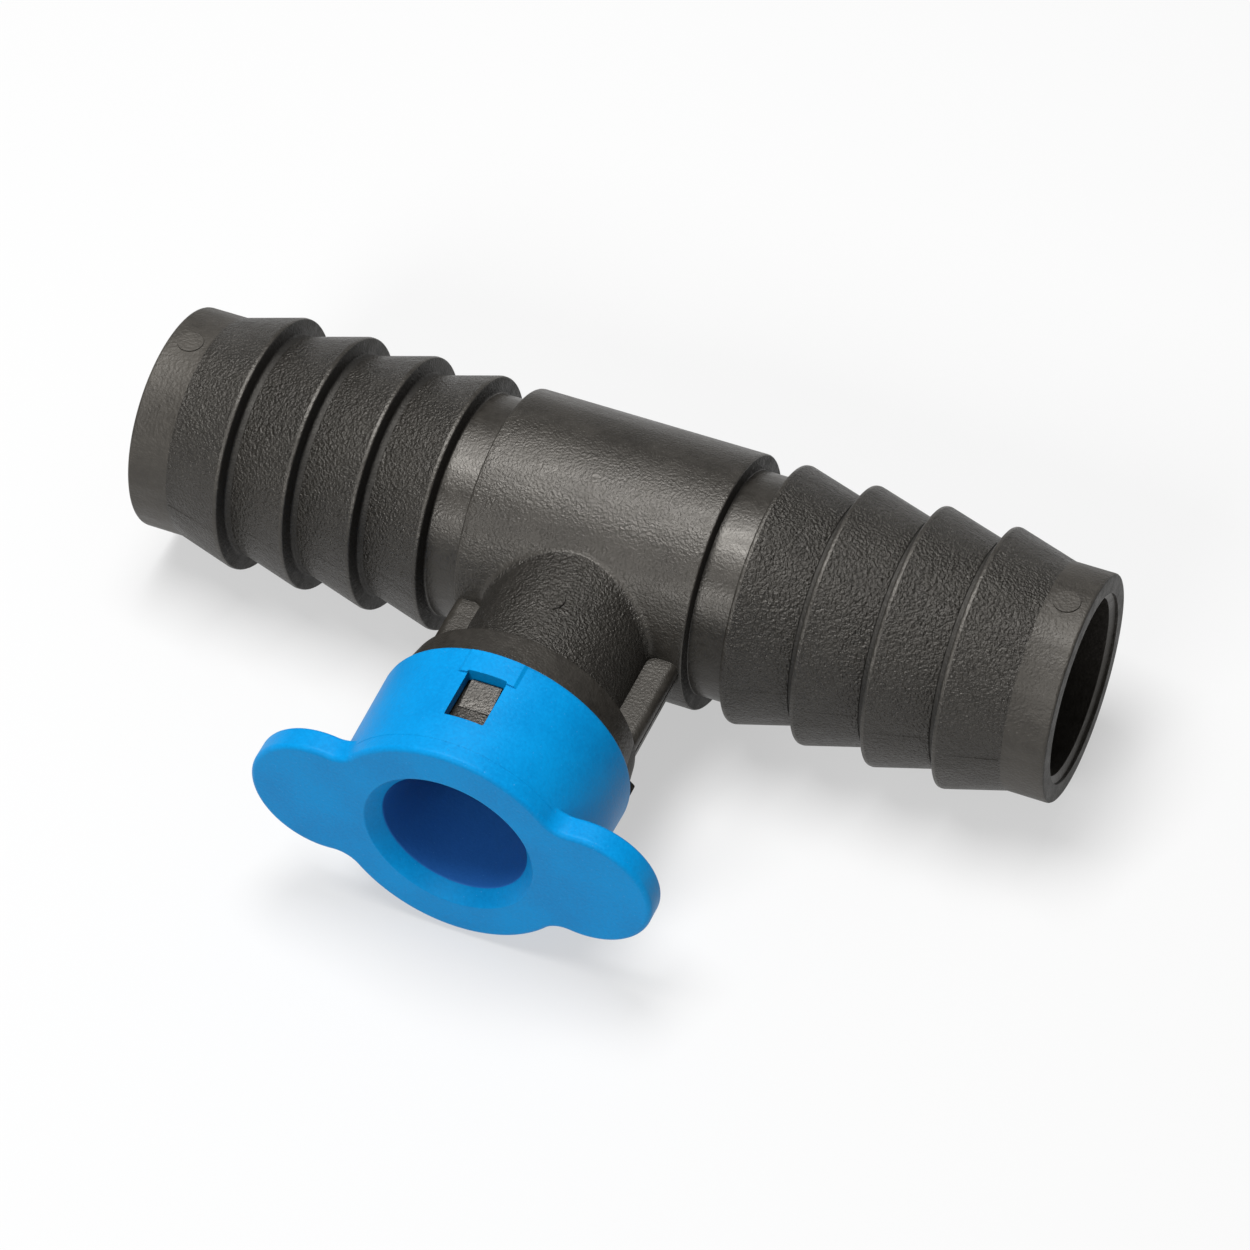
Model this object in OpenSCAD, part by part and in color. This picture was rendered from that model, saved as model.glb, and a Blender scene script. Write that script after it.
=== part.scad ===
// Barbed insert tee with a push-in branch: a black moulded tee body whose run carries four
// barbs each way, and a snap-on winged collar that holds a sliding grip ring over the branch.
// The run lies along X, the branch points along -Y, and the two axes cross at the origin.

/* [Run] */
// Half length of the run, from the branch axis to each open end
run_half = 52.75; // [50:0.25:60]
// Radius of the through bore of the run
run_bore_r = 9.7; // [7:0.1:10]
// Radius over the barb crests
crest_r = 14.3; // [14.1:0.1:15]
// Radius of the smooth tips and of the grooves between barbs
root_r = 12.5; // [12.2:0.1:12.8]
// Length of the smooth tip outside the first barb
tip_len = 4.7; // [4:0.1:5]
// Distance from one barb crest to the next
barb_pitch = 7.88; // [7.7:0.02:8]
// Length of the cone of one barb
barb_cone = 6.98; // [6.5:0.02:7.2]
// Radius of the plain middle section
middle_r = 14.2; // [14:0.1:14.4]
// Half length of the plain middle section
middle_half = 13.1; // [12.6:0.1:13.6]

/* [Branch] */
// Outer radius of the branch neck
neck_r = 9.65; // [9.5:0.05:9.8]
// Distance from the run axis to the back of the flared shoulder
shoulder_back = 25.6; // [25.4:0.1:26.2]
// Distance from the run axis to the front of the flared shoulder
shoulder_front = 29.6; // [29.4:0.1:29.6]
// Radius of the shoulder at its back edge
shoulder_back_r = 12.85; // [12.5:0.05:13]
// Radius of the shoulder where the collar meets it
shoulder_front_r = 13.6; // [13.4:0.1:13.8]
// Half width of the flat ribs that tie the shoulder to the run
rib_half = 1.5; // [1:0.1:2]
// Inner radius of the pocket that takes the end of the pipe
pocket_r = 8.2; // [8.15:0.05:8.3]
// Outer radius of the stem that the pipe slides over
stem_r = 6.2; // [6:0.1:6.4]
// Bore radius of the stem
stem_bore_r = 4.6; // [4:0.1:4.8]
// Section diameter of the O-ring on the stem
seal_d = 1.5; // [1.4:0.1:1.6]

/* [Collar] */
// Distance from the run axis to the front face of the collar
collar_front = 44.1; // [43.9:0.1:44.6]
// Radius of the collar at its back rim
collar_r = 14.15; // [14.05:0.05:14.3]
// Radius of the hole that the pipe is pushed through
throat_r = 8.05; // [8:0.05:8.1]
// Radius of the flared mouth at the front face
mouth_r = 9.45; // [9:0.05:9.8]
// Thickness of the wings and of the front web
wing_t = 2.9; // [2.6:0.1:2.9]
// Radius of the rounded end of each wing
wing_r = 7.8; // [7:0.1:8.2]
// Distance from the branch axis to the centre of each wing's round end
wing_reach = 14.6; // [14:0.1:15.5]
// How far the wings are turned about the branch from level, in degrees
wing_turn = 1.5; // [0:0.5:3]

/* [Grip] */
// Number of teeth around the inside of the grip ring
grip_teeth = 12; // [8:1:16]

/* [Hidden] */
$fn = 96;

// run details
barb_count = 4;
crest_round = 0.35;
end_chamfer = 0.6;
middle_chamfer = 0.25;
first_crest = run_half - tip_len - barb_cone;

// branch details
branch_start = 10;
shoulder_edge = 0.25;
barrel_r = 12.45;
barrel_front = 40.9;
cavity_r = 11;
cavity_floor = 27.4;
pocket_floor = 18;
stem_tip = 30;
stem_chamfer = 0.6;
seal_groove_r = 5.3;
seal_groove_w = 1.9;
seal_centre = 27;
rib_out = 12.8;
rib_round = 1.1;
rib_root = 8.6;
rib_start = 12.6;
rib_end = 26.6;
pin_mark_r = 1.45;
pin_mark_rise = 0.06;
branch_mark = 17.2;

// snap lugs on the barrel, and the windows that catch them
lug_back = 33;
lug_toe = 36.4;
lug_half = 1.7;
lug_r = 13.1;
lug_toe_r = 12.55;
window_back = 32.8;
window_front = 38.8;
window_half = 2.15;
pad_half = 3.35;
pad_rise = 0.2;
side_lug_half = 1.1;
side_lug_r = 13.75;
side_lug_angle = 113;

// collar details
shell_in_r = 12.75;
collar_front_r = 13.87;
plate_r = 13.95;
collar_back = shoulder_front + 0.1;
web_back = collar_front - wing_t;
edge_round = 0.5;
mouth_depth = 1.6;
sleeve_r = 10.8;
sleeve_back = 27.7;
cone_front = 32;
cone_front_r = 8.35;
cone_back_r = 9.95;
wing_fillet = 3;

// grip ring details
grip_back = 27.9;
grip_len = 2.6;
grip_gap = 0.38;
grip_split = 1.6;
tooth_depth = 0.3;
tooth_r = throat_r + 0.02;

// Turns a shape drawn around Z so that it lies along the run
module along_run() rotate([0, 90, 0]) children();

// Turns a shape drawn around Z so that +Z becomes the branch direction, -Y
module along_branch() rotate([90, 0, 0]) children();

// Extrudes an outline of [distance along the branch, height] points across X
module side_plate(points, half) {
    rotate([90, 0, 90]) translate([0, 0, -half])
        linear_extrude(2 * half) polygon([for (p = points) [-p[0], p[1]]]);
}

// A quarter arc of points from angle a to angle b around a centre
function arc(centre, r, a, b, steps = 6) =
    [for (i = [0:steps]) centre + r * [cos(a + (b - a) * i / steps), sin(a + (b - a) * i / steps)]];

// Outline of one barb as [radius, x], walked inwards from its outer end
function barb(crest) = concat(
    [[root_r, crest + barb_cone]],
    arc([crest_r - crest_round, crest + crest_round], crest_round, 15, -90),
    [[root_r + 0.25, crest], [root_r, crest - 0.25]]);

// One half of the outside of the run, from the open end to the middle
half_run = concat(
    [[run_bore_r - 1, run_half], [root_r - 0.3, run_half], [root_r, run_half - 0.3]],
    [for (i = [0:barb_count - 1], p = barb(first_crest - i * barb_pitch)) p],
    [[root_r, middle_half], [middle_r - middle_chamfer, middle_half],
     [middle_r, middle_half - middle_chamfer]]);

// Solid outside of the run: a half outline and its mirror image
module run_outside() {
    mirrored = [for (i = [len(half_run) - 1:-1:0]) [half_run[i][0], -half_run[i][1]]];
    along_run() rotate_extrude() polygon(concat(half_run, mirrored));
}

// Neck, shoulder, barrel, pipe pocket and grooved stem of the branch
module branch_outside() {
    groove_a = seal_centre - seal_groove_w / 2;
    groove_b = seal_centre + seal_groove_w / 2;
    along_branch() rotate_extrude() polygon([
        [stem_bore_r, branch_start], [neck_r, branch_start], [neck_r, shoulder_back],
        [shoulder_back_r - shoulder_edge, shoulder_back],
        [shoulder_back_r, shoulder_back + shoulder_edge],
        [shoulder_front_r, shoulder_front], [barrel_r, shoulder_front],
        [barrel_r, barrel_front - 0.4], [barrel_r - 0.4, barrel_front],
        [cavity_r + 0.3, barrel_front], [cavity_r, barrel_front - 0.3],
        [cavity_r, cavity_floor], [pocket_r, cavity_floor], [pocket_r, pocket_floor],
        [stem_r, pocket_floor], [stem_r, groove_a], [seal_groove_r, groove_a],
        [seal_groove_r, groove_b], [stem_r, groove_b], [stem_r, stem_tip - stem_chamfer],
        [stem_r - stem_chamfer, stem_tip], [stem_bore_r, stem_tip]]);
}

// Flat bar with rounded outer corners that ties the shoulder to the run
module rib() {
    corner = rib_half - rib_round;
    translate([0, -rib_start, 0]) along_branch() linear_extrude(rib_end - rib_start)
        polygon(concat([[rib_root, -rib_half]],
                       arc([rib_out - rib_round, -corner], rib_round, -90, 0),
                       arc([rib_out - rib_round, corner], rib_round, 0, 90),
                       [[rib_root, rib_half]]));
}

// Wedge that the collar window snaps over
module snap_lug() {
    side_plate([[lug_back, barrel_r - 0.6], [lug_back, lug_r], [lug_toe, lug_toe_r],
                [lug_toe, barrel_r - 0.6]], lug_half);
}

// Low key on the side of the shoulder
module side_lug() {
    inside_r = shoulder_back_r - 0.3;
    front = shoulder_front - 0.1;
    side_plate([[shoulder_back + 0.5, inside_r], [shoulder_back + 0.9, side_lug_r],
                [front, side_lug_r], [front, inside_r]], side_lug_half);
}

// Flat round mark left by an ejector pin at height r, over the point [x, y]
module pin_mark(x, y, r) translate([x, y, r - 1]) cylinder(r = pin_mark_r, h = 1 + pin_mark_rise);

module tee_body() color("#3b3a38") difference() {
    union() {
        run_outside();
        branch_outside();
        for (side = [0, 1]) mirror([side, 0, 0]) {
            rib();
            rotate([0, side_lug_angle, 0]) side_lug();
            pin_mark(run_half - 2.55, 0, root_r);
        }
        for (side = [0, 1]) mirror([0, 0, side]) snap_lug();
        pin_mark(0, -branch_mark, neck_r);
    }
    along_run() rotate_extrude() polygon([
        [0, -run_half - 1], [run_bore_r + end_chamfer + 1, -run_half - 1],
        [run_bore_r, end_chamfer - run_half], [run_bore_r, run_half - end_chamfer],
        [run_bore_r + end_chamfer + 1, run_half + 1], [0, run_half + 1]]);
    along_branch() cylinder(r = stem_bore_r, h = branch_start + 1);
}

// Quarter of the outline of the front plate: round collar, hollow fillet, round wing end
function plate_quarter() =
    let (far = plate_r + wing_fillet, near = wing_r + wing_fillet,
         fx = (far * far - near * near + wing_reach * wing_reach) / (2 * wing_reach),
         fz = sqrt(far * far - fx * fx), join = atan2(fz, fx), turn = atan2(fz, fx - wing_reach))
    concat(arc([wing_reach, 0], wing_r, 0, turn, 14),
           arc([fx, fz], wing_fillet, 180 + turn, 180 + join, 8),
           arc([0, 0], plate_r, join, 90, 10));

// Plate with the two wings that forms the front of the collar
module front_plate() {
    quarter = plate_quarter();
    last = len(quarter) - 1;
    outline = concat(
        quarter,
        [for (i = [last - 1:-1:0]) [-quarter[i][0], quarter[i][1]]],
        [for (i = [1:last]) [-quarter[i][0], -quarter[i][1]]],
        [for (i = [last - 1:-1:1]) [quarter[i][0], -quarter[i][1]]]);
    translate([0, -web_back, 0]) along_branch() linear_extrude(wing_t)
        polygon([for (p = outline) [p[0] * cos(wing_turn) + p[1] * sin(wing_turn),
                                    p[1] * cos(wing_turn) - p[0] * sin(wing_turn)]]);
}

// Round shell and inner sleeve of the collar, solid at the throat
module collar_shell() {
    along_branch() rotate_extrude() polygon(concat(
        [[shell_in_r, collar_back]],
        arc([collar_r - edge_round, collar_back + edge_round], edge_round, -90, 0),
        [[collar_front_r, web_back + 0.3], [plate_r - 0.5, web_back + 0.5],
         [plate_r - 0.5, collar_front - 0.2], [throat_r - 1, collar_front - 0.2],
         [throat_r - 1, sleeve_back], [sleeve_r, sleeve_back], [sleeve_r, web_back],
         [shell_in_r, web_back]]));
}

// Space inside the collar that the pipe passes through, from the flared mouth to the cone
module throat() {
    along_branch() rotate_extrude() polygon([
        [0, sleeve_back - 1], [cone_back_r, sleeve_back - 1], [cone_back_r, sleeve_back],
        [cone_front_r, cone_front], [throat_r, cone_front], [throat_r, collar_front - mouth_depth],
        [mouth_r, collar_front], [mouth_r, collar_front + 1], [0, collar_front + 1]]);
}

// Raised pad behind a snap window, which stiffens the rim there
module rim_pad() {
    intersection() {
        side_plate([[collar_back + 0.3, shell_in_r + 0.2], [collar_back + 0.3, collar_r + 1],
                    [window_back + 0.2, collar_r + 1], [window_back + 0.2, shell_in_r + 0.2]],
                   pad_half);
        along_branch() cylinder(r = collar_r + pad_rise, h = collar_front);
    }
}

module winged_collar() color("#0f8fdc") difference() {
    union() {
        collar_shell();
        front_plate();
        for (side = [0, 1]) mirror([0, 0, side]) rim_pad();
    }
    throat();
    for (side = [0, 1]) mirror([0, 0, side])
        side_plate([[window_back, sleeve_r + 0.5], [window_back, collar_r + 1],
                    [window_front, collar_r + 1], [window_front, sleeve_r + 0.5]], window_half);
}

// Split ring with inner teeth; its outside follows the cone of the collar sleeve
module grip_ring() color("#c9ccd0") {
    slope = (cone_back_r - cone_front_r) / (cone_front - sleeve_back);
    back_r = cone_back_r - slope * (grip_back - sleeve_back) - grip_gap;
    front_r = back_r - slope * grip_len;
    difference() {
        along_branch() rotate_extrude() polygon([
            [tooth_r, grip_back], [back_r, grip_back], [front_r, grip_back + grip_len],
            [tooth_r + tooth_depth, grip_back + grip_len]]);
        for (i = [0:grip_teeth - 1]) rotate([0, (i + 0.5) * 360 / grip_teeth, 0])
            translate([-0.35, -grip_back - grip_len - 1, tooth_r - 0.3])
                cube([0.7, grip_len + 2, tooth_depth + 0.3]);
        translate([-grip_split / 2, -grip_back - grip_len - 1, -back_r - 1])
            cube([grip_split, grip_len + 2, back_r]);
    }
}

module stem_o_ring() color("#161616")
    along_branch() translate([0, 0, seal_centre]) rotate_extrude()
        translate([seal_groove_r + seal_d / 2, 0]) circle(seal_d / 2);

tee_body();
winged_collar();
grip_ring();
stem_o_ring();
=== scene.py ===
"""Looks of a barbed insert tee with a push-in branch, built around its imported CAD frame.

The run lies along X, the branch points along -Y and +Z is up. Shapes are worked out in
millimetres and written to their meshes in metres.
"""

import math

import bmesh
import bpy
import numpy as np
from mathutils import Matrix, Vector


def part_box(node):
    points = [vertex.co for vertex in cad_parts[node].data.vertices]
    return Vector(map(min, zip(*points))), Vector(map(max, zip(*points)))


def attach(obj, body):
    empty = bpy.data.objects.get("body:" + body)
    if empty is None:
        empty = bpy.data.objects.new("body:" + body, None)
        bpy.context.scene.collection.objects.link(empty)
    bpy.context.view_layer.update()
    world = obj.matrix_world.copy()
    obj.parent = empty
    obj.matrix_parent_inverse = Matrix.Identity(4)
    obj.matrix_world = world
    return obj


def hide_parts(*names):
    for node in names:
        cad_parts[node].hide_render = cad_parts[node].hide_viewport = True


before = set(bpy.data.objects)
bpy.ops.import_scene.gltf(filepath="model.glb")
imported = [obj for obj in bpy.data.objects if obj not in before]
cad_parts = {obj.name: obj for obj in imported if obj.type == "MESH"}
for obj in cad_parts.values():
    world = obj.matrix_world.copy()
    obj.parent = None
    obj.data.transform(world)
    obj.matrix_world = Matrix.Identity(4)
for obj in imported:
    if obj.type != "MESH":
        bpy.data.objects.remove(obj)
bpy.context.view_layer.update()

MM = 0.001
SEGMENTS = 240
tee_low, tee_high = (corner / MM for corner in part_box("tee_body"))
collar_low, collar_high = (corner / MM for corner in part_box("winged_collar"))

# Run, in millimetres
RUN_HALF = tee_high.x
CREST_R = tee_high.z
ROOT_R = 12.5
TIP_LEN = 4.7
PITCH = 7.88
CONE_LEN = 6.98
BARBS = 4
BORE_R = 9.7
MIDDLE_R = 14.2
MIDDLE_HALF = 13.1
FIRST_CREST = RUN_HALF - TIP_LEN - CONE_LEN
CREST_LAND = 0.45

# Branch, in millimetres along the branch from the run axis
NECK_R = 9.65
NECK_FILLET = 1.1
BRANCH_START = 10.0
SHOULDER_BACK = 25.6
SHOULDER_FRONT = 29.6
SHOULDER_BACK_R = 12.85
SHOULDER_FRONT_R = 13.6
BARREL_R = 12.45
BARREL_FRONT = -tee_low.y - 0.05
CAVITY_R = 11.0
CAVITY_FLOOR = 27.4
POCKET_R = 8.2
POCKET_FLOOR = 18.0
STEM_R = 6.2
STEM_BORE_R = 4.6
STEM_TIP = 30.0
SEAL_CENTRE = 27.0
SEAL_GROOVE_R = 5.3
SEAL_GROOVE_HALF = 0.95

# Ribs, lugs and moulding marks of the tee, in millimetres and degrees
RIB_ROOT = 8.6
RIB_OUT = 12.8
RIB_HALF = 1.5
RIB_ROUND = 1.1
RIB_START = 12.6
RIB_END = 26.6
LUG_BACK = 33.0
LUG_TOE = 36.4
LUG_R = 13.1
LUG_TOE_R = 12.55
LUG_HALF = 1.7
SIDE_LUG_ANGLE = 113
SIDE_LUG_BACK = 26.1
SIDE_LUG_FRONT = 29.5
SIDE_LUG_FOOT_R = 12.55
SIDE_LUG_R = 13.75
SIDE_LUG_HALF = 1.1
PIN_MARK_R = 1.45
PIN_MARK_RISE = 0.1
PIN_MARK_FROM_END = 2.55
PIN_MARK_ON_NECK = 17.2
FLASH_RISE = 0.05
FLASH_HALF = 0.05
SUNK = 0.6
BORE_FLARE = 0.7

# Collar, in millimetres
COLLAR_FRONT = -collar_low.y
COLLAR_BACK = SHOULDER_FRONT + 0.1
COLLAR_R = 14.15
COLLAR_FRONT_R = 13.87
PLATE_R = 13.8
WING_T = 2.9
WING_R = 7.8
WING_REACH = collar_high.x - WING_R
WING_FILLET = 3.0
WING_TURN = 1.5
WEB_BACK = COLLAR_FRONT - WING_T
SHELL_IN_R = 12.75
THROAT_R = 8.05
MOUTH_R = 9.45
SLEEVE_R = 10.8
SLEEVE_BACK = 27.7
CONE_FRONT = 32.0
CONE_FRONT_R = 8.35
CONE_BACK_R = 9.95
WINDOW_BACK = 32.8
WINDOW_FRONT = 38.8
WINDOW_HALF = 2.15


# ---------------------------------------------------------------- shapes

def arc(centre, radius, start, stop, steps=6):
    """Points on a round corner, from angle start to angle stop in degrees."""
    angles = np.radians(np.linspace(start, stop, steps + 1))
    return [(centre[0] + radius * math.cos(a), centre[1] + radius * math.sin(a)) for a in angles]


def rounded(points, radius, steps=4, closed=False):
    """An outline with each listed corner rounded: points are (a, b) or (a, b, its own radius)."""
    result = []
    count = len(points)
    for i, point in enumerate(points):
        here = Vector(point[:2])
        size = point[2] if len(point) > 2 else radius
        if size == 0 or (not closed and i in (0, count - 1)):
            result.append(tuple(here))
            continue
        before = Vector(points[i - 1][:2]) - here
        after = Vector(points[(i + 1) % count][:2]) - here
        half_turn = before.angle(after) / 2
        reach = min(size / math.tan(half_turn), before.length * 0.49, after.length * 0.49)
        start, stop = here + before.normalized() * reach, here + after.normalized() * reach
        for k in range(steps + 1):
            t = k / steps
            result.append(tuple(start * (1 - t) ** 2 + here * 2 * t * (1 - t) + stop * t ** 2))
    return result


def object_from(bm, name):
    """A new object in the scene from a bmesh in millimetres, with its faces turned outwards."""
    bmesh.ops.recalc_face_normals(bm, faces=bm.faces)
    bmesh.ops.scale(bm, vec=(MM, MM, MM), verts=bm.verts)
    mesh = bpy.data.meshes.new(name)
    bm.to_mesh(mesh)
    bm.free()
    obj = bpy.data.objects.new(name, mesh)
    bpy.context.scene.collection.objects.link(obj)
    return obj


def revolved(name, outline, along, segments=SEGMENTS):
    """A closed solid from an outline of (radius, distance) turned about X or about the branch."""
    bm = bmesh.new()
    rings = []
    for radius, distance in outline:
        ring = []
        for i in range(1 if radius == 0 else segments):
            angle = 2 * math.pi * i / segments
            u, v = radius * math.cos(angle), radius * math.sin(angle)
            place = (distance, v, u) if along == "run" else (v, -distance, u)
            ring.append(bm.verts.new(place))
        rings.append(ring)
    for first, second in zip(rings, rings[1:] + rings[:1]):
        if len(first) == 1 and len(second) == 1:
            continue
        for i in range(segments):
            j = (i + 1) % segments
            corners = [first[i % len(first)], first[j % len(first)],
                       second[j % len(second)], second[i % len(second)]]
            bm.faces.new(list(dict.fromkeys(corners)))
    return object_from(bm, name)


def prism(name, outline, low, high, place):
    """A straight solid: an outline of (a, b) points, extruded from low to high, with place(a, b, c)
    giving the point in space."""
    bm = bmesh.new()
    ends = [[bm.verts.new(place(a, b, c)) for a, b in outline] for c in (low, high)]
    for end in ends:
        bm.faces.new(end)
    for i in range(len(outline)):
        j = (i + 1) % len(outline)
        bm.faces.new((ends[0][i], ends[0][j], ends[1][j], ends[1][i]))
    return object_from(bm, name)


def combined(base, others, operation):
    """The base after a boolean with each of the others, which are used up."""
    for other in others:
        modifier = base.modifiers.new("combine", "BOOLEAN")
        modifier.operation = operation
        modifier.solver = "MANIFOLD"
        modifier.object = other
        depsgraph = bpy.context.evaluated_depsgraph_get()
        mesh = bpy.data.meshes.new_from_object(base.evaluated_get(depsgraph))
        base.modifiers.clear()
        old = base.data
        base.data = mesh
        bpy.data.meshes.remove(old)
        bpy.data.objects.remove(other)
    return base


def finished(obj, sharp=32):
    """Merges doubles, shades smooth with sharp edges kept, and weights normals by face area."""
    bm = bmesh.new()
    bm.from_mesh(obj.data)
    bmesh.ops.remove_doubles(bm, verts=bm.verts, dist=0.002 * MM)
    bmesh.ops.dissolve_degenerate(bm, edges=bm.edges, dist=0.001 * MM)
    bm.to_mesh(obj.data)
    bm.free()
    obj.data.shade_smooth()
    obj.data.set_sharp_from_angle(angle=math.radians(sharp))
    weighted = obj.modifiers.new("weighted", "WEIGHTED_NORMAL")
    weighted.keep_sharp = True
    weighted.mode = "FACE_AREA"
    return obj


# ---------------------------------------------------------------- black tee body

def run_outline():
    """Half outline of the run as (radius, x), from the open end to the middle, then mirrored."""
    half = [(0, RUN_HALF), (ROOT_R, RUN_HALF, 0.35), (ROOT_R, FIRST_CREST + CONE_LEN, 0)]
    for k in range(BARBS):
        crest = FIRST_CREST - k * PITCH
        if k:
            half += [(ROOT_R - 0.09, crest + CONE_LEN + 0.05, 0), (ROOT_R + 0.02, crest + CONE_LEN, 0)]
        half += [(CREST_R, crest + CREST_LAND, 0.3), (CREST_R - 0.02, crest, 0.28),
                 (ROOT_R, crest - 0.12, 0.3)]
    half += [(ROOT_R, MIDDLE_HALF, 0.12), (MIDDLE_R, MIDDLE_HALF, 0.22)]
    for x in np.linspace(MIDDLE_HALF - 1, 0.5, 14):
        half.append((MIDDLE_R, x, 0))
    half = rounded(half, 0)
    return half + [(r, -x) for r, x in reversed(half)]


def branch_outline():
    """Outside and inside of the neck, shoulder, barrel, pipe pocket and stem as (radius, distance)."""
    corners = [
        (STEM_BORE_R, BRANCH_START, 0), (NECK_R, BRANCH_START, 0), (NECK_R, SHOULDER_BACK, 0.5),
        (SHOULDER_BACK_R, SHOULDER_BACK, 0.35), (SHOULDER_FRONT_R, SHOULDER_FRONT, 0.15),
        (BARREL_R, SHOULDER_FRONT, 0), (BARREL_R, BARREL_FRONT, 0.4), (CAVITY_R, BARREL_FRONT, 0.3),
        (CAVITY_R, CAVITY_FLOOR, 0.2), (POCKET_R, CAVITY_FLOOR, 0.3), (POCKET_R, POCKET_FLOOR, 0.3),
        (STEM_R, POCKET_FLOOR, 0.3), (STEM_R, SEAL_CENTRE - SEAL_GROOVE_HALF, 0.1),
        (SEAL_GROOVE_R, SEAL_CENTRE - SEAL_GROOVE_HALF, 0.1),
        (SEAL_GROOVE_R, SEAL_CENTRE + SEAL_GROOVE_HALF, 0.1),
        (STEM_R, SEAL_CENTRE + SEAL_GROOVE_HALF, 0.1), (STEM_R, STEM_TIP, 0.6),
        (STEM_BORE_R, STEM_TIP, 0.3)]
    return rounded(corners, 0, closed=True)


def neck_fillet():
    """The hollow blend where the neck leaves the run: a rolled ball's path between two cylinders."""
    bm = bmesh.new()
    steps, bite = 7, 0.03
    rings = []
    for i in range(SEGMENTS):
        turn = 2 * math.pi * i / SEGMENTS
        outward = Vector((math.sin(turn), 0, math.cos(turn)))
        ball = outward * (NECK_R + NECK_FILLET)
        ball.y = -math.sqrt((MIDDLE_R + NECK_FILLET) ** 2 - ball.z ** 2)
        on_neck = outward * (NECK_R - bite) + Vector((0, ball.y, 0))
        shrink = (MIDDLE_R - bite) / (MIDDLE_R + NECK_FILLET)
        on_run = Vector((ball.x, ball.y * shrink, ball.z * shrink))
        to_neck, to_run = (on_neck - ball).normalized(), (on_run - ball).normalized()
        span = to_neck.angle(to_run)
        ring = [bm.verts.new(on_neck)]
        for k in range(1, steps):
            t = k / steps
            direction = (to_neck * math.sin((1 - t) * span) + to_run * math.sin(t * span)) / math.sin(span)
            ring.append(bm.verts.new(ball + direction * NECK_FILLET))
        ring.append(bm.verts.new(on_run))
        ring.append(bm.verts.new((on_neck * 0.93 + on_run * 0.07) * 0.93))
        rings.append(ring)
    for first, second in zip(rings, rings[1:] + rings[:1]):
        for k in range(len(first)):
            m = (k + 1) % len(first)
            bm.faces.new((first[k], first[m], second[m], second[k]))
    return object_from(bm, "neck_fillet")


def side_plate(name, outline, half):
    """A solid from an outline of (distance along the branch, height), extruded across X."""
    return prism(name, outline, -half, half, lambda a, b, c: (c, -a, b))


def ribs():
    """The two flat bars between the run and the shoulder, with rounded outer corners."""
    outline = rounded([(RIB_ROOT, -RIB_HALF, 0), (RIB_OUT, -RIB_HALF), (RIB_OUT, RIB_HALF),
                       (RIB_ROOT, RIB_HALF, 0)], RIB_ROUND, steps=8, closed=True)
    made = []
    for side in (1, -1):
        made.append(prism("rib", outline, RIB_START, RIB_END,
                          lambda a, b, c, s=side: (s * a, -c, b)))
    return made


def parting_fins():
    """The thin flash that the mould leaves in the plane z = 0, along the ribs and the barbs."""
    low, high = RIB_OUT - 0.8, RIB_OUT + FLASH_RISE
    start, stop = RIB_START + 0.4, RIB_END - 0.6
    made = []
    for side in (1, -1):
        made.append(prism("rib_fin", [(low, start), (high, start), (high, stop), (low, stop)],
                          -FLASH_HALF, FLASH_HALF, lambda a, b, c, s=side: (s * a, -b, c)))
        for k in range(BARBS):
            crest = FIRST_CREST - k * PITCH
            far = crest + CONE_LEN - 0.2
            outline = [(ROOT_R - SUNK, far), (ROOT_R + 0.05 + FLASH_RISE, far),
                       (CREST_R - 0.05 + FLASH_RISE, crest + CREST_LAND),
                       (ROOT_R - SUNK, crest + CREST_LAND)]
            for front in (1, -1):
                made.append(prism("barb_fin", outline, -FLASH_HALF, FLASH_HALF,
                                  lambda a, b, c, s=side, f=front: (s * b, -f * a, c)))
    return made


def snap_lugs():
    """The wedges that hold the collar, above and below."""
    made = []
    for up in (1, -1):
        outline = rounded([(LUG_BACK, BARREL_R - SUNK, 0), (LUG_BACK, LUG_R, 0.12),
                           (LUG_TOE, LUG_TOE_R, 0.03), (LUG_TOE, BARREL_R - SUNK, 0)], 0, closed=True)
        made.append(side_plate("snap_lug", [(a, up * b) for a, b in outline], LUG_HALF))
    return made


def side_lugs():
    """The low keys on the sides of the shoulder."""
    made = []
    for side in (1, -1):
        turn = Matrix.Rotation(math.radians(SIDE_LUG_ANGLE) * side, 3, "Y")
        outline = rounded([(SIDE_LUG_BACK, SIDE_LUG_FOOT_R, 0), (SIDE_LUG_BACK + 0.4, SIDE_LUG_R, 0.3),
                           (SIDE_LUG_FRONT, SIDE_LUG_R, 0.1), (SIDE_LUG_FRONT, SIDE_LUG_FOOT_R, 0)],
                          0, closed=True)
        made.append(prism("side_lug", outline, -SIDE_LUG_HALF, SIDE_LUG_HALF,
                          lambda a, b, c, t=turn: t @ Vector((c, -a, b))))
    return made


def pin_marks():
    """Flat round marks of the ejector pins, on both tips and on the neck."""
    made = []
    on_tip = RUN_HALF - PIN_MARK_FROM_END
    for x, y, radius in ((on_tip, 0, ROOT_R), (-on_tip, 0, ROOT_R), (0, -PIN_MARK_ON_NECK, NECK_R)):
        disc = [(x + a, y + b) for a, b in arc((0, 0), PIN_MARK_R, 0, 345, 23)]
        made.append(prism("pin_mark", disc, radius - 1, radius + PIN_MARK_RISE,
                          lambda a, b, c: (a, b, c)))
    return made


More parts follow.
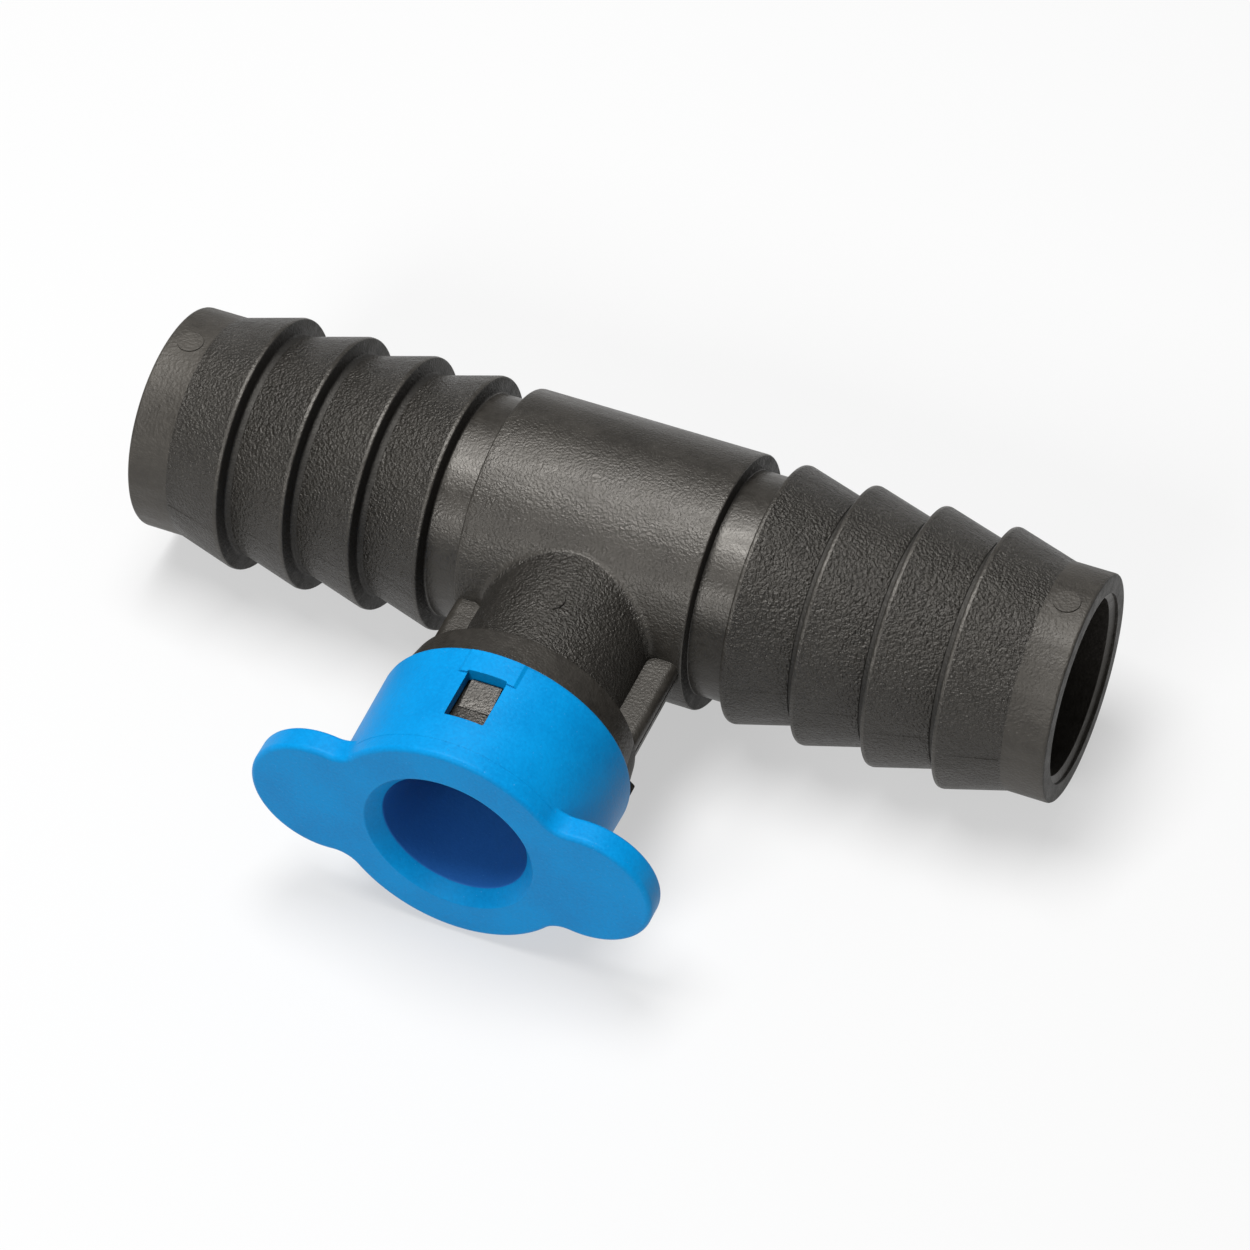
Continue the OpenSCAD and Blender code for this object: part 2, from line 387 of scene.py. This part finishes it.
def tee_skin():
    """The whole black moulding as one closed mesh."""
    body = revolved("tee_skin", run_outline(), "run")
    combined(body, [revolved("neck", branch_outline(), "branch"), neck_fillet()], "UNION")
    combined(body, ribs() + snap_lugs() + side_lugs() + pin_marks() + parting_fins(), "UNION")
    bore = [(0, -RUN_HALF - 1), (BORE_R + BORE_FLARE, -RUN_HALF - 1),
            (BORE_R + BORE_FLARE, 0.35 - RUN_HALF), (BORE_R, 0.75 - RUN_HALF)]
    bore = bore + [(r, -x) for r, x in reversed(bore)]
    combined(body, [revolved("bore", bore, "run"),
                    revolved("branch_bore", [(0, 0), (STEM_BORE_R, 0), (STEM_BORE_R, 11), (0, 11)],
                             "branch", 96)], "DIFFERENCE")
    return finished(body)


# ---------------------------------------------------------------- blue collar

def plate_outline(inset=0.0):
    """Outline of the front plate as (x, z): round collar, hollow fillets and round wing ends."""
    disc, wing, hollow = PLATE_R - inset, WING_R - inset, WING_FILLET + inset
    far, near = disc + hollow, wing + hollow
    fx = (far ** 2 - near ** 2 + WING_REACH ** 2) / (2 * WING_REACH)
    fz = math.sqrt(far ** 2 - fx ** 2)
    join = math.degrees(math.atan2(fz, fx))
    turn = math.degrees(math.atan2(fz, fx - WING_REACH))
    quarter = (arc((WING_REACH, 0), wing, 0, turn, 40)
               + arc((fx, fz), hollow, 180 + turn, 180 + join, 16)[1:]
               + arc((0, 0), disc, join, 90, 30)[1:])
    half = quarter + [(-x, z) for x, z in reversed(quarter[:-1])]
    return half + [(x, -z) for x, z in reversed(half[1:-1])]


def wing_plate():
    """The front plate with its edges rounded front and back."""
    bm = bmesh.new()
    front_round, back_round, steps = 0.6, 0.45, 6
    levels = []
    for k in range(steps + 1):
        a = math.radians(90 * k / steps)
        levels.append((back_round * (1 - math.sin(a)), WEB_BACK + back_round * (1 - math.cos(a))))
    for k in range(steps + 1):
        a = math.radians(90 * k / steps)
        levels.append((front_round * (1 - math.cos(a)), COLLAR_FRONT - front_round * (1 - math.sin(a))))
    rings = [[bm.verts.new((x, -y, z)) for x, z in plate_outline(inset)] for inset, y in levels]
    for first, second in zip(rings, rings[1:]):
        for i in range(len(first)):
            j = (i + 1) % len(first)
            bm.faces.new((first[i], first[j], second[j], second[i]))
    bm.faces.new(rings[0])
    bm.faces.new(rings[-1])
    bmesh.ops.rotate(bm, verts=bm.verts, matrix=Matrix.Rotation(math.radians(WING_TURN), 3, "Y"))
    return object_from(bm, "wing_plate")


def collar_shell():
    """Round shell and inner sleeve; the front end is hidden inside the plate."""
    inner = THROAT_R - 1
    corners = [
        (SHELL_IN_R, COLLAR_BACK, 0.2), (COLLAR_R, COLLAR_BACK, 0.5), (COLLAR_FRONT_R, WEB_BACK, 0),
        (COLLAR_FRONT_R - 0.03, WEB_BACK + 0.9, 0), (PLATE_R - 1, WEB_BACK + 1.3, 0),
        (PLATE_R - 1, COLLAR_FRONT - 0.3, 0), (inner, COLLAR_FRONT - 0.3, 0), (inner, SLEEVE_BACK, 0),
        (SLEEVE_R, SLEEVE_BACK, 0.3), (SLEEVE_R, WEB_BACK, 0.3), (SHELL_IN_R, WEB_BACK, 0.3)]
    return revolved("collar_skin", rounded(corners, 0, closed=True), "branch")


def throat():
    """Everything the pipe passes through, from the rounded flare at the mouth to the cone."""
    path = rounded([
        (CONE_BACK_R, SLEEVE_BACK, 0), (CONE_FRONT_R, CONE_FRONT, 0), (THROAT_R, CONE_FRONT, 0.1),
        (THROAT_R, COLLAR_FRONT - 1.6, 0.5), (MOUTH_R, COLLAR_FRONT, 0.25),
        (MOUTH_R + 1, COLLAR_FRONT + 0.02, 0)], 0, steps=6)
    return revolved("throat", [(0, SLEEVE_BACK - 1), (CONE_BACK_R, SLEEVE_BACK - 1)] + path
                    + [(MOUTH_R + 1, COLLAR_FRONT + 1), (0, COLLAR_FRONT + 1)], "branch")


def rim_pads():
    """Raised pads between each snap window and the back rim, with sloping sides."""
    made = []
    top, foot, rise = 3.0, 3.4, 0.2
    for up in (1, -1):
        bm = bmesh.new()
        across = 14
        rows = []
        for y in (COLLAR_BACK + 0.35, WINDOW_BACK + 0.25):
            outer, inner = [], []
            for i in range(across + 1):
                x = -foot + 2 * foot * i / across
                lift = rise if abs(x) <= top else -0.1
                radius = COLLAR_R - 0.28 * (y - COLLAR_BACK) / (WEB_BACK - COLLAR_BACK) + lift
                outer.append(bm.verts.new((x, -y, up * math.sqrt(radius ** 2 - x ** 2))))
                inner.append(bm.verts.new((x, -y, up * (SHELL_IN_R + 0.3))))
            rows.append(outer + inner[::-1])
        for row in rows:
            bm.faces.new(row)
        for i in range(len(rows[0])):
            j = (i + 1) % len(rows[0])
            bm.faces.new((rows[0][i], rows[0][j], rows[1][j], rows[1][i]))
        made.append(object_from(bm, "rim_pad"))
    return made


def windows():
    """The openings that the lugs snap into."""
    corners = rounded([(-WINDOW_HALF, WINDOW_BACK), (WINDOW_HALF, WINDOW_BACK),
                       (WINDOW_HALF, WINDOW_FRONT), (-WINDOW_HALF, WINDOW_FRONT)], 0.2, closed=True)
    return [prism("window", corners, SLEEVE_R + 0.5, COLLAR_R + 1, lambda a, b, c, s=up: (a, -b, s * c))
            for up in (1, -1)]


def collar_skin():
    """The whole blue moulding as one closed mesh."""
    collar = combined(collar_shell(), [wing_plate()] + rim_pads(), "UNION")
    combined(collar, [throat()] + windows(), "DIFFERENCE")
    return finished(collar, sharp=28)


# ---------------------------------------------------------------- materials

class Nodes:
    """Shorthand for building one material's node tree."""

    def __init__(self, name):
        self.material = bpy.data.materials.new(name)
        self.material.use_nodes = True
        self.tree = self.material.node_tree
        self.shader = self.tree.nodes["Principled BSDF"]
        self.place = self.add("ShaderNodeTexCoord").outputs["Object"]

    def add(self, kind, links=(), **settings):
        node = self.tree.nodes.new(kind)
        for key, value in settings.items():
            setattr(node, key, value)
        for key, value in dict(links).items():
            self.join(value, node.inputs[key])
        return node

    def join(self, value, socket):
        if isinstance(value, bpy.types.NodeSocket):
            self.tree.links.new(value, socket)
        else:
            socket.default_value = value

    def noise(self, size_mm, detail=3.0, roughness=0.5, distortion=0.0, place=None):
        """Noise whose blobs are about size_mm across."""
        return self.add("ShaderNodeTexNoise", {
            "Vector": place or self.place, "Scale": 1 / (size_mm * MM), "Detail": detail,
            "Roughness": roughness, "Distortion": distortion}).outputs["Fac"]

    def stretch(self, x, y, z):
        """Object coordinates scaled along each axis, for streaks."""
        return self.add("ShaderNodeMapping", {"Vector": self.place, "Scale": (x, y, z)}).outputs["Vector"]

    def ramp(self, value, low, high, out_low=0.0, out_high=1.0):
        """Maps value from low..high to out_low..out_high, held inside that range."""
        return self.add("ShaderNodeMapRange", {
            "Value": value, "From Min": low, "From Max": high, "To Min": out_low, "To Max": out_high},
            clamp=True).outputs["Result"]

    def math(self, operation, first, second=0.0):
        return self.add("ShaderNodeMath", {0: first, 1: second}, operation=operation).outputs[0]

    def mix(self, factor, first, second):
        """A mix of two colours."""
        node = self.add("ShaderNodeMix", data_type="RGBA")
        self.join(factor, node.inputs[0])
        self.join(first, node.inputs[6])
        self.join(second, node.inputs[7])
        return node.outputs[2]

    def bump(self, height, strength, depth_mm, under=None):
        links = {"Height": height, "Strength": strength, "Distance": depth_mm * MM}
        if under is not None:
            links["Normal"] = under
        return self.add("ShaderNodeBump", links).outputs["Normal"]

    def soft_edges(self, radius_mm):
        """A normal that rounds crisp moulded edges a little."""
        return self.add("ShaderNodeBevel", {"Radius": radius_mm * MM}, samples=4).outputs["Normal"]


def black_plastic(name, grain_mm, grain_depth, roughness, tone_and_shade=1.0):
    """Dark warm moulded plastic with a leathery grain, soft gloss streaks and a little dust."""
    n = Nodes(name)
    cloud = n.noise(9.0, 3.0, 0.6)
    fine = n.noise(0.9, 4.0, 0.6)
    streaks = n.noise(1.6, 3.0, 0.6, place=n.stretch(0.16, 1, 1))
    dust = n.ramp(n.noise(0.5, 2.0, 0.5), 0.70, 0.78)
    # The multiplier below sets each zone's own tone; the groove zone's low value is painted shade.
    dark = (0.0095 * tone_and_shade, 0.0084 * tone_and_shade, 0.0070 * tone_and_shade, 1)
    light = (0.0210 * tone_and_shade, 0.0190 * tone_and_shade, 0.0162 * tone_and_shade, 1)
    base = n.mix(n.ramp(n.math("ADD", n.math("MULTIPLY", cloud, 0.6), n.math("MULTIPLY", fine, 0.4)),
                        0.36, 0.64), dark, light)
    base = n.mix(n.math("MULTIPLY", dust, 0.16), base, (0.22, 0.21, 0.19, 1))
    n.join(base, n.shader.inputs["Base Color"])
    n.join(n.ramp(n.math("ADD", n.math("MULTIPLY", streaks, 0.6), n.math("MULTIPLY", fine, 0.4)),
                  0.35, 0.65, roughness - 0.08, roughness + 0.08), n.shader.inputs["Roughness"])
    grain = n.noise(grain_mm, 1.5, 0.5)
    pits = n.noise(grain_mm * 0.45, 2.0, 0.5)
    height = n.math("ADD", n.math("MULTIPLY", grain, 0.75), n.math("MULTIPLY", pits, 0.25))
    n.shader.inputs["Specular Tint"].default_value = (1.0, 0.955, 0.89, 1)
    n.join(n.bump(height, 1.0, grain_depth, n.soft_edges(0.10)), n.shader.inputs["Normal"])
    n.shader.inputs["Specular IOR Level"].default_value = 0.5
    return n.material


def blue_plastic(name, low, high):
    """Saturated satin blue with faint mottling, scuffs and tiny pale flecks."""
    n = Nodes(name)
    cloud = n.noise(7.0, 3.0, 0.55)
    fine = n.noise(0.35, 3.0, 0.6)
    flecks = n.ramp(n.noise(0.22, 1.0, 0.5), 0.76, 0.80)
    scuffs = n.ramp(n.noise(0.5, 3.0, 0.6, place=n.stretch(1, 6, 1)), 0.62, 0.74)
    speckle = n.math("ADD", n.math("MULTIPLY", cloud, 0.5), n.math("MULTIPLY", fine, 0.5))
    base = n.mix(n.ramp(speckle, 0.38, 0.62), low, high)
    base = n.mix(n.math("MULTIPLY", flecks, 0.5), base, (0.10, 0.30, 0.60, 1))
    base = n.mix(n.math("MULTIPLY", scuffs, 0.16), base, (0.04, 0.26, 0.60, 1))
    n.join(base, n.shader.inputs["Base Color"])
    n.join(n.ramp(speckle, 0.35, 0.65, 0.36, 0.52), n.shader.inputs["Roughness"])
    n.join(n.bump(fine, 1.0, 0.03, n.soft_edges(0.12)), n.shader.inputs["Normal"])
    n.shader.inputs["Specular IOR Level"].default_value = 0.16
    n.shader.inputs["Specular Tint"].default_value = (0.4, 0.8, 1.0, 1)
    return n.material


def grip_plastic():
    """Pale waxy plastic with slightly uneven gloss."""
    n = Nodes("grip_plastic")
    fine = n.noise(0.3, 3.0, 0.5)
    n.join(n.mix(n.ramp(fine, 0.3, 0.7), (0.66, 0.66, 0.63, 1), (0.76, 0.76, 0.73, 1)),
           n.shader.inputs["Base Color"])
    n.join(n.ramp(fine, 0.3, 0.7, 0.34, 0.46), n.shader.inputs["Roughness"])
    n.join(n.bump(fine, 1.0, 0.008), n.shader.inputs["Normal"])
    return n.material


def seal_rubber():
    """Dark rubber with patchy gloss."""
    n = Nodes("seal_rubber")
    fine = n.noise(0.25, 3.0, 0.6)
    n.join(n.mix(n.ramp(fine, 0.3, 0.7), (0.012, 0.012, 0.012, 1), (0.022, 0.022, 0.022, 1)),
           n.shader.inputs["Base Color"])
    n.join(n.ramp(fine, 0.3, 0.7, 0.28, 0.45), n.shader.inputs["Roughness"])
    n.join(n.bump(fine, 1.0, 0.01), n.shader.inputs["Normal"])
    return n.material


# The groove zone's darker colour is painted shade in the steps and root beads.
GRAIN, MIDDLE, SMOOTH, TIP, SHADED_GROOVE = range(5)


def finish_zone(centre, normal):
    """Which of the tee's finishes a face at a place in millimetres has."""
    x, y, z = abs(centre.x), centre.y, centre.z
    from_run = math.hypot(y, z)
    if from_run > MIDDLE_R + 0.15 and x < MIDDLE_HALF and y < 0:
        if -y > SHOULDER_BACK:
            return MIDDLE
        return GRAIN if math.hypot(centre.x, z) < NECK_R + 0.3 else SMOOTH
    if from_run < ROOT_R - 0.15 and x < RUN_HALF - 0.5:
        return SMOOTH
    if x < MIDDLE_HALF - 0.02:
        return MIDDLE
    # Step faces that face along the run: painted darker as shade.
    if abs(normal.x) > 0.75:
        return SHADED_GROOVE
    if x > RUN_HALF - TIP_LEN:
        return TIP
    along = (x - (FIRST_CREST - (BARBS - 1) * PITCH)) % PITCH
    on_barbs = x > FIRST_CREST - (BARBS - 1) * PITCH
    if not on_barbs:
        return SMOOTH
    # Root beads beside the steps: painted darker as shade.
    if along > CONE_LEN:
        return SHADED_GROOVE
    return GRAIN if along > CREST_LAND else MIDDLE


def dress_tee(tee):
    """Gives each zone of the tee its own finish; the groove zone, the step faces and root beads, is also
    painted darker as shade.
    """
    tee.data.materials.clear()
    tee.data.materials.append(black_plastic("black_plastic_grain", 0.34, 0.38, 0.42, 0.85))
    tee.data.materials.append(black_plastic("black_plastic_middle", 0.30, 0.11, 0.40, 1.4))
    tee.data.materials.append(black_plastic("black_plastic_smooth", 0.30, 0.06, 0.38, 1.4))
    tee.data.materials.append(black_plastic("black_plastic_tip", 0.34, 0.12, 0.52, 1.9))
    # The groove finish is painted darker as shade in the steps and root beads.
    tee.data.materials.append(black_plastic("black_plastic_groove_shade", 0.30, 0.12, 0.60, 0.35))
    for face in tee.data.polygons:
        face.material_index = finish_zone(face.center / MM, face.normal)


def dress_collar(collar):
    """Satin blue outside, and a darker blue painted in the throat as shade."""
    collar.data.materials.clear()
    collar.data.materials.append(blue_plastic("blue_plastic_satin", (0.0, 0.176, 0.440, 1),
                                              (0.0, 0.222, 0.530, 1)))
    # The darker blue inside the throat is painted shade.
    collar.data.materials.append(blue_plastic("blue_plastic_throat_shade", (0.020, 0.120, 0.400, 1),
                                              (0.024, 0.134, 0.440, 1)))
    for face in collar.data.polygons:
        centre = face.center / MM
        # Throat walls get the darker blue, painted as shade.
        inside = math.hypot(centre.x, centre.z) < THROAT_R + 0.15
        face.material_index = int(inside and abs(face.normal.y) < 0.5)


# ---------------------------------------------------------------- pieces on their bodies

def dress(obj, material):
    obj.data.materials.clear()
    obj.data.materials.append(material)


tee = tee_skin()
dress_tee(tee)
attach(tee, "fitting")
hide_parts("tee_body")

collar = collar_skin()
dress_collar(collar)
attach(collar, "fitting")
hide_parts("winged_collar")

dress(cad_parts["grip_ring"], grip_plastic())
dress(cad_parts["stem_o_ring"], seal_rubber())


# ---------------------------------------------------------------- camera, floor and light

def look_axes(azimuth, elevation, roll):
    """Right, up and back directions of a camera at an azimuth and elevation, in degrees."""
    az, el, r = (math.radians(v) for v in (azimuth, elevation, roll))
    right = Vector((math.cos(az), math.sin(az), 0))
    back = Vector((math.sin(az) * math.cos(el), -math.cos(az) * math.cos(el), math.sin(el)))
    up = back.cross(right)
    return (right * math.cos(r) + up * math.sin(r), up * math.cos(r) - right * math.sin(r), back)


def add_camera():
    """The photograph's viewing angle; the origin sits a little off the middle of the picture."""
    right, up, back = look_axes(24.61, 48.25, -1.84)
    aside, above, distance = -0.60, 8.18, 517.05
    camera = bpy.data.objects.new("camera", bpy.data.cameras.new("camera"))
    bpy.context.scene.collection.objects.link(camera)
    camera.data.sensor_width = 36
    camera.data.lens = 138.9
    camera.data.clip_start = 0.01
    place = (back * distance - right * aside - up * above) * MM
    camera.matrix_world = Matrix.Translation(place) @ Matrix((right, up, back)).transposed().to_4x4()
    bpy.context.scene.camera = camera


def add_area(name, azimuth, elevation, distance, size, power):
    """A soft area light aimed at the middle of the object."""
    _, _, back = look_axes(azimuth, elevation, 0)
    light = bpy.data.lights.new(name, "AREA")
    light.shape = "RECTANGLE"
    light.size, light.size_y = size
    light.energy = power
    obj = bpy.data.objects.new(name, light)
    bpy.context.scene.collection.objects.link(obj)
    obj.location = back * distance + Vector((0, -0.015, 0))
    obj.rotation_euler = back.to_track_quat("Z", "Y").to_euler()


def add_floor():
    """A plain pale floor that the lowest point touches, with a faint glow that keeps shadows soft."""
    bm = bmesh.new()
    bmesh.ops.create_grid(bm, x_segments=1, y_segments=1, size=1500)
    floor = object_from(bm, "floor")
    floor.location.z = min(tee_low.z, collar_low.z) * MM
    n = Nodes("floor")
    n.shader.inputs["Base Color"].default_value = (0.27, 0.27, 0.27, 1)
    n.shader.inputs["Emission Color"].default_value = (1, 1, 1, 1)
    n.shader.inputs["Emission Strength"].default_value = 0.52
    n.shader.inputs["Roughness"].default_value = 0.9
    n.shader.inputs["Specular IOR Level"].default_value = 0.1
    dress(floor, n.material)


def add_world():
    world = bpy.data.worlds.new("studio")
    world.use_nodes = True
    background = world.node_tree.nodes["Background"]
    background.inputs["Color"].default_value = (1, 1, 1, 1)
    background.inputs["Strength"].default_value = 0.22
    bpy.context.scene.world = world


add_camera()
add_floor()
add_world()
add_area("key_top", 250, 80, 0.70, (0.50, 0.30), 7.2)
add_area("fill_front", -8, 30, 1.2, (0.4, 0.3), 6.6)
bpy.context.scene.view_settings.view_transform = "Standard"
